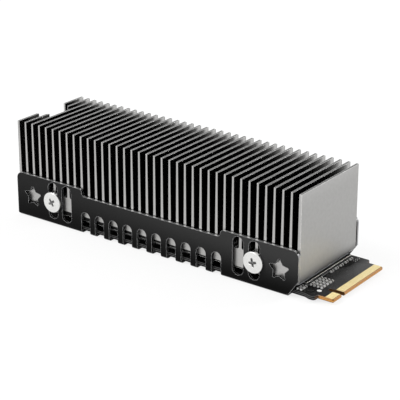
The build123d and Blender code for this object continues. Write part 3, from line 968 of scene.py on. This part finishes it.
@dataclass
class Metalwork:
    """The extruded block and the folded bracket, as bevelled copies of their CAD shapes."""

    block_bevel: float = 0.06
    bracket_bevel: float = 0.05

    def build(self) -> None:
        """Build and dress both."""
        dress(welded_copy("heatsink_body", "block_shell", self.block_bevel), "block_aluminium", COOLER)
        dress(welded_copy("bracket", "bracket_shell", self.bracket_bevel), "bracket_black", DRIVE)


@dataclass
class PanScrew:
    """One pan head screw with a cross recess and a threaded shank along Y."""

    node: str
    side: Side
    turn: float
    head_radius: float = 2.35
    head_height: float = 0.6
    dome: float = 0.05
    rounding: float = 0.19
    wing_reach: float = 1.02
    wing_half_width: float = 0.25
    recess_depth: float = 0.5
    shank_radius: float = 1.25
    pitch: float = 0.45
    thread_depth: float = 0.17
    columns: int = 96

    def profile(self) -> tuple[np.ndarray, np.ndarray]:
        """Give the outline of the screw from the middle of its face to the tip, as radius and height.

        The face sags by dome times the square of radius over reach, the rim is a quarter circle, and
        the shank below the seat has negative heights.

        Returns:
            Radius and height of each point of the outline.
        """
        reach = self.head_radius - self.rounding
        inner = np.linspace(0.02, self.wing_reach + 0.12, 30)
        face = np.concatenate([inner, np.linspace(self.wing_reach + 0.25, reach, 8)])
        rim = np.linspace(0, math.pi / 2, 6)[1:]
        top = self.head_height - self.dome * (np.append(face, reach) / reach) ** 2
        length = self.shank_length()
        thread = np.arange(0, length, self.pitch / 8)
        rim_radius = reach + self.rounding * np.sin(rim)
        seat = [self.head_radius, self.shank_radius]
        shank = np.full(len(thread), self.shank_radius)
        tip = [self.shank_radius * 0.6, 0]
        radius = np.concatenate([[0], face, rim_radius, seat, shank, tip])
        rim_height = top[-1] - self.rounding * (1 - np.cos(rim))
        levels = [[self.head_height], top[:-1], rim_height, [0, 0], -thread, [-length, -length]]
        return radius, np.concatenate(levels)

    def shank_length(self) -> float:
        """Give the length of the shank below the head, from the CAD solid."""
        low, high = box_mm(self.node)
        return float(high[1] - low[1]) - self.head_height

    def surface(self) -> tuple[np.ndarray, np.ndarray]:
        """Work out the screw about its seat, axis along +Z, and how deep in the recess each point is.

        The recess lowers the face where both |u| < reach and |w| < half width for u along a wing and
        w across it, with walls as smooth steps. On the shank the radius follows a triangle wave of
        height over pitch minus angle over a full turn.

        Returns:
            The points, and for each ring and column the depth in the recess, 0 to 1, which sets its painted
            shade.
        """
        radius, height = self.profile()
        angle = np.linspace(0, 2 * math.pi, self.columns, endpoint=False)
        turned = angle[None, :] - math.radians(self.turn)
        across = radius[:, None] * np.cos(turned)
        beside = radius[:, None] * np.sin(turned)
        depth = np.maximum(self.wing(across, beside), self.wing(beside, across))
        on_face = (height > self.head_height - self.dome - 0.01)[:, None]
        levels = height[:, None] - np.where(on_face, depth, 0.0)
        wave = height[:, None] / self.pitch - angle[None, :] / (2 * math.pi)
        tooth = np.abs(2 * (wave - np.floor(wave)) - 1)
        threaded = ((height < -0.15) & (radius > self.shank_radius * 0.9))[:, None]
        reach = radius[:, None] - np.where(threaded, self.thread_depth * tooth, 0.0)
        points = np.stack([reach * np.cos(angle), reach * np.sin(angle), levels], axis=-1).reshape(-1, 3)
        return points, np.where(on_face, depth / self.recess_depth, 0.0) ** 0.5

    def wing(self, along: np.ndarray, across: np.ndarray) -> np.ndarray:
        """Give the depth of one pair of wings; they narrow and rise towards their ends.

        Args:
            along: Place of each point along the wings.
            across: Place of each point across them.

        Returns:
            Depth of each point below the face.
        """
        far = np.clip((self.wing_reach - np.abs(along)) / 0.22, 0, 1)
        width = self.wing_half_width * (1.08 - 0.25 * np.abs(along) / self.wing_reach)
        wall = np.clip((width - np.abs(across)) / 0.07 + 0.5, 0, 1)
        smooth = far * far * (3 - 2 * far) * wall * wall * (3 - 2 * wall)
        return smooth * self.recess_depth * (1 - 0.35 * np.abs(along) / self.wing_reach)

    def build(self) -> None:
        """Turn the screw's axis out of its side, put it at the CAD seat and dress it."""
        points, recess = self.surface()
        low, high = box_mm(self.node)
        middle = (low + high) / 2
        seat = (high[1] if self.side is Side.FAR else low[1]) - self.side.value * self.head_height
        sign = self.side.value
        xs, ys = middle[0] - sign * points[:, 0], seat + sign * points[:, 2]
        placed = np.column_stack([xs, ys, middle[2] + points[:, 1]])
        faces = grid_faces(len(self.profile()[0]), self.columns)
        piece = new_piece(self.node + "_detail", placed, faces, recess)
        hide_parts(self.node)
        dress(piece, "screw_plated", COOLER)


@dataclass
class ChipComponents:
    """A grid of like chip components: bodies, and tinned ends that wrap both ends."""

    node: str
    slot: str
    counts: tuple[int, int]
    size: tuple[float, float, float]
    ends_along_x: bool = False
    end_share: float = 0.32
    wrap: float = 0.012

    def places(self) -> np.ndarray:
        """Give the middle of each component's foot, evenly spaced inside the CAD group's box.

        Returns:
            One row for each component.
        """
        low, high = box_mm(self.node)
        half = np.array(self.size[:2]) / 2
        xs = np.linspace(low[0] + half[0], high[0] - half[0], self.counts[0])
        ys = np.linspace(low[1] + half[1], high[1] - half[1], self.counts[1])
        grid = np.stack(np.meshgrid(xs, ys, indexing="ij"), axis=-1).reshape(-1, 2)
        return np.column_stack([grid, np.full(len(grid), low[2])])

    def build(self) -> None:
        """Build bodies and ends, and dress them."""
        size = np.array(self.size)
        axis = 0 if self.ends_along_x else 1
        places = self.places()
        outline = rounded_outline(size[0] - 2 * self.wrap, size[1] - 2 * self.wrap, 0.04, 3)
        points, faces = slab(outline, size[2] - self.wrap, 0.03)
        bodies = new_piece(self.node + "_bodies", *many(points, faces, places))
        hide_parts(self.node)
        dress(bodies, self.slot, DRIVE)
        end_size = size[:2].copy()
        end_size[axis] *= self.end_share
        points, faces = slab(rounded_outline(end_size[0], end_size[1], 0.08, 4), size[2], 0.1)
        shift = np.zeros(3)
        shift[axis] = (size[axis] - end_size[axis]) / 2
        both = np.concatenate([places - shift, places + shift])
        dress(new_piece(self.node + "_ends", *many(points, faces, both)), "solder_tin", DRIVE)


@dataclass
class Packages:
    """The moulded packages, inductors and oscillator under the block."""

    moulded: tuple[str, ...] = ("controller", "dram", "memory_front", "memory_rear", "power_chip")
    carrier_share: float = 0.28
    mould_setback: float = 0.12
    edge: float = 0.05
    lid_height: float = 0.09

    def build(self) -> None:
        """Build each package as a carrier with a moulded cap, and the rest as rounded blocks."""
        for node in self.moulded:
            low, high = box_mm(node)
            middle, size = (low + high) / 2, high - low
            carrier_height = size[2] * self.carrier_share
            carrier = slab(rounded_outline(size[0], size[1], 0.1, 3), carrier_height, 0.02)
            cap_size = size[:2] - 2 * self.mould_setback
            cap = slab(rounded_outline(*cap_size, 0.15, 4), size[2] - carrier_height, self.edge)
            foot = np.array([[middle[0], middle[1], low[2]]])
            on_carrier = foot + np.array([[0, 0, carrier_height]])
            dress(new_piece(node + "_carrier", *many(*carrier, foot)), "board_mask", DRIVE)
            piece = new_piece(node + "_mould", *many(*cap, on_carrier))
            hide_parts(node)
            dress(piece, "package_black", DRIVE)
            if node == "controller":
                lid = slab(rounded_outline(size[0] - 0.02, size[1] - 0.02, 0.2, 5), self.lid_height, 0.02)
                on_cap = foot + np.array([[0, 0, size[2] - self.lid_height]])
                dress(new_piece("controller_lid", *many(*lid, on_cap)), "oscillator_can", DRIVE)
        for node, slot, rounding in (
            ("inductor_near", "inductor_ferrite", 0.12),
            ("inductor_middle", "inductor_ferrite", 0.12),
            ("oscillator", "oscillator_can", 0.08),
        ):
            low, high = box_mm(node)
            size = high - low
            shape = slab(rounded_outline(size[0], size[1], 0.2, 5), size[2], rounding)
            dress(block_on(node, shape, node + "_block"), slot, DRIVE)


@dataclass
class ThermalPad:
    """The soft pad squeezed between the packages and the block."""

    node: str = "thermal_pad"
    corner: float = 0.6
    bulge: float = 0.12

    def build(self) -> None:
        """Build the pad with its sides bulged out, inside the CAD pad's box."""
        low, high = box_mm(self.node)
        size = high - low
        outline = rounded_outline(size[0] - 2 * self.bulge, size[1] - 2 * self.bulge, self.corner, 6)
        shape = slab(outline, size[2], 0.08, self.bulge)
        dress(block_on(self.node, shape, "thermal_pad_squeezed"), "pad_silicone", COOLER)


@dataclass
class DriveBoard:
    """The drive board with its contacts, tinned pads and the relief of its copper."""

    edge_bevel: float = 0.03
    trace_width: float = 0.14
    trace_height: float = 0.018
    trace_count: int = 36
    trace_steps: int = 24
    trace_length: float = 4.4
    trace_swing: float = 0.9
    trace_fan: float = -0.119
    lane_margins: tuple[float, float] = (3.6, 0.6)
    hole_middle: tuple[float, float] = (35.45, -9.15)
    ring_radii: tuple[float, float] = (0.66, 1.0)
    ring_height: float = 0.02
    ring_columns: int = 48
    solder_rise: float = 0.05

    def build(self) -> None:
        """Build the board and what lies on it."""
        dress(welded_copy("ssd_board", "board_shell", self.edge_bevel), "board_mask", DRIVE)
        for node, slot in (
            ("contacts_top", "contact_gold"),
            ("contacts_bottom", "contact_gold"),
            ("ground_pads", "solder_tin"),
            ("insulating_film", "film_black"),
        ):
            dress_node(node, slot)
        self.build_traces()
        self.build_test_pad()
        self.build_ring()

    def build_ring(self) -> None:
        """Build the thin ring round the tooling hole in the board's mask finish: four circles swept round its
        middle.
        """
        inner, outer = self.ring_radii
        top = box_mm("ssd_board")[1][2]
        radius = np.array([inner, inner, outer, outer, inner])
        level = top + np.array([0.0, self.ring_height, self.ring_height, 0.0, 0.0])
        angle = np.linspace(0, 2 * math.pi, self.ring_columns, endpoint=False)
        xs = self.hole_middle[0] + radius[:, None] * np.cos(angle)
        ys = self.hole_middle[1] + radius[:, None] * np.sin(angle)
        points = np.stack([xs, ys, np.broadcast_to(level[:, None], xs.shape)], axis=-1).reshape(-1, 3)
        dress(new_piece("hole_ring", points, grid_faces(len(radius), self.ring_columns)), "board_mask", DRIVE)

    def build_traces(self) -> None:
        """Build covered copper tracks as low ribbons.

        Each track starts behind a contact and runs back along -X, and its Y leaves the straight line
        by lean times a smooth step of the way run.
        """
        low, high = box_mm("contacts_top")
        top = low[2]
        start = low[0] - 0.15
        run = np.linspace(0, 1, self.trace_steps)
        lanes = np.linspace(low[1] + self.lane_margins[0], high[1] - self.lane_margins[1], self.trace_count)
        length = self.trace_length - self.trace_swing * np.cos(np.linspace(0, 7, self.trace_count))
        lean = self.trace_fan * (lanes - lanes.mean())
        ease = run * run * (3 - 2 * run)
        xs = start - length[:, None] * run[None, :]
        ys = lanes[:, None] + lean[:, None] * ease[None, :]
        half = self.trace_width / 2
        offsets = np.array([-half, -half * 0.6, half * 0.6, half])
        rises = np.array([0.0, 1.0, 1.0, 0.0]) * self.trace_height
        points = np.stack(np.broadcast_arrays(xs[:, :, None], ys[:, :, None] + offsets, top + rises), axis=-1)
        index = np.arange(points.size // 3).reshape(self.trace_count, self.trace_steps, 4)
        corners = index[:, :-1, :-1], index[:, 1:, :-1], index[:, 1:, 1:], index[:, :-1, 1:]
        quads = np.stack(corners, axis=-1)
        dress(new_piece("board_tracks", points.reshape(-1, 3), quads.reshape(-1, 4)), "board_mask", DRIVE)

    def build_test_pad(self) -> None:
        """Build the tinned pad near the hole as a low dome of solder on an oval."""
        low, high = box_mm("test_pad")
        size = high - low
        outline = rounded_outline(size[0], size[1], size[1] / 2, 8)
        shape = slab(outline, size[2] + self.solder_rise, 0.08)
        dress(block_on("test_pad", shape, "test_pad_solder"), "solder_tin", DRIVE)


# --------------------------------------------------------------------------- stage


@dataclass
class Studio:
    """White floor, plain soft light and the camera at the photograph's angle."""

    camera_place: tuple[float, float, float] = (170.72, -231.16, 125.36)
    azimuth: float = 36.230
    elevation: float = 21.963
    roll: float = 0.187
    focal_pixels: float = 1442.0
    frame_pixels: float = 400.0
    floor_half: float = 3.0
    floor_glow: float = 0.78
    world_strength: float = 0.72

    def seen(self, graph: Graph) -> Socket:
        """Give 1 for camera, glossy and transmission rays.

        Args:
            graph: Graph of the material.

        Returns:
            The mask, 0 or 1.
        """
        path = graph.add("LightPath").outputs
        mirror = graph.math("MAXIMUM", path["Is Glossy Ray"], path["Is Transmission Ray"])
        return graph.math("MAXIMUM", path["Is Camera Ray"], mirror)

    def build_world(self) -> None:
        """Make a plain white surround, at full white only where it is seen."""
        world = bpy.data.worlds.new("studio")
        bpy.context.scene.world = world
        world.use_nodes = True
        graph = Graph(world.node_tree)
        strength = graph.between(self.seen(graph), self.world_strength, 1.0)
        light = graph.add("Background", {"Color": (1.0, 1.0, 1.0, 1.0), "Strength": strength})
        graph.feed(graph.add("OutputWorld").inputs["Surface"], light.outputs[0])

    def build_floor(self) -> None:
        """Make the floor: matt white that keeps the shadow and glows a little, clear from below."""
        h = self.floor_half
        mesh = bpy.data.meshes.new("floor")
        mesh.from_pydata([(-h, -h, 0), (h, -h, 0), (h, h, 0), (-h, h, 0)], [], [(0, 1, 2, 3)])
        floor = bpy.data.objects.new("floor", mesh)
        bpy.context.scene.collection.objects.link(floor)
        material = bpy.data.materials.new("floor_white")
        material.use_nodes = True
        graph = Graph(material.node_tree)
        matt = graph.add("BsdfDiffuse", {"Color": (0.93, 0.93, 0.93, 1.0)})
        glow = graph.add("Emission", {"Color": (1.0, 1.0, 1.0, 1.0), "Strength": 1.0})
        share = graph.math("MULTIPLY", self.seen(graph), self.floor_glow)
        mixed = graph.add("MixShader", {0: share, 1: matt.outputs[0], 2: glow.outputs[0]})
        below = graph.add("NewGeometry").outputs["Backfacing"]
        clear = graph.add("BsdfTransparent", {"Color": (1.0, 1.0, 1.0, 1.0)})
        whole = graph.add("MixShader", {0: below, 1: mixed.outputs[0], 2: clear.outputs[0]})
        graph.feed(graph.add("OutputMaterial").inputs["Surface"], whole.outputs[0])
        mesh.materials.append(material)

    def lamp(self, name: str, place: tuple[float, float, float], size: float, power: float) -> None:
        """Add one soft square lamp that faces the object.

        Args:
            name: Name of the lamp.
            place: Its middle, in metres.
            size: Side of the square, in metres.
            power: Power in watts.
        """
        data = bpy.data.lights.new(name, "AREA")
        data.shape = "SQUARE"
        data.size = size
        data.energy = power
        lamp = bpy.data.objects.new(name, data)
        lamp.location = place
        aim = Vector((0, 0, 0.01)) - lamp.location
        lamp.rotation_mode = "QUATERNION"
        lamp.rotation_quaternion = aim.to_track_quat("-Z", "Y")
        bpy.context.scene.collection.objects.link(lamp)

    def build_camera(self) -> None:
        """Set the camera from its fitted place, angles and focal length in pixels."""
        azimuth, elevation = math.radians(self.azimuth), math.radians(self.elevation)
        level = math.cos(elevation)
        look = Vector((-math.sin(azimuth) * level, math.cos(azimuth) * level, -math.sin(elevation)))
        data = bpy.data.cameras.new("photo_camera")
        data.sensor_width = 36.0
        data.lens = self.focal_pixels / self.frame_pixels * data.sensor_width
        data.clip_start, data.clip_end = 0.01, 20.0
        camera = bpy.data.objects.new("photo_camera", data)
        camera.location = Vector(self.camera_place) * MM
        camera.rotation_mode = "QUATERNION"
        upright = look.to_track_quat("-Z", "Y")
        camera.rotation_quaternion = upright @ Quaternion((0, 0, 1), math.radians(self.roll))
        bpy.context.scene.collection.objects.link(camera)
        bpy.context.scene.camera = camera

    def build(self) -> None:
        """Build the whole stage."""
        self.build_camera()
        self.build_world()
        self.build_floor()
        self.lamp("key_lamp", (-0.45, -0.55, 0.75), 0.6, 7.0)
        self.lamp("rim_lamp", (0.30, 0.62, 0.46), 0.4, 3.5)
        bpy.context.scene.view_settings.view_transform = "Standard"


def main() -> None:
    """Build the stage and every sub-assembly."""
    logging.basicConfig(level=logging.INFO, format="%(message)s")
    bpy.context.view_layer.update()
    Studio().build()
    Metalwork().build()
    DriveBoard().build()
    Packages().build()
    ThermalPad().build()
    for node, side, turn in (
        ("screw_near_rear", Side.NEAR, 34),
        ("screw_near_front", Side.NEAR, 14),
        ("screw_far_rear", Side.FAR, 62),
        ("screw_far_front", Side.FAR, 48),
    ):
        PanScrew(node, side, turn).build()
    capacitor = (0.5, 1.0, 0.45)
    for node, counts in (
        ("capacitors_front", (1, 5)),
        ("capacitors_cluster", (4, 4)),
        ("capacitors_corner", (2, 2)),
        ("capacitors_memory", (1, 6)),
    ):
        ChipComponents(node, "capacitor_ceramic", counts, capacitor).build()
    ChipComponents("resistors_far", "resistor_black", (1, 3), (0.6, 0.3, 0.23), ends_along_x=True).build()


if __name__ == "__main__":
    main()
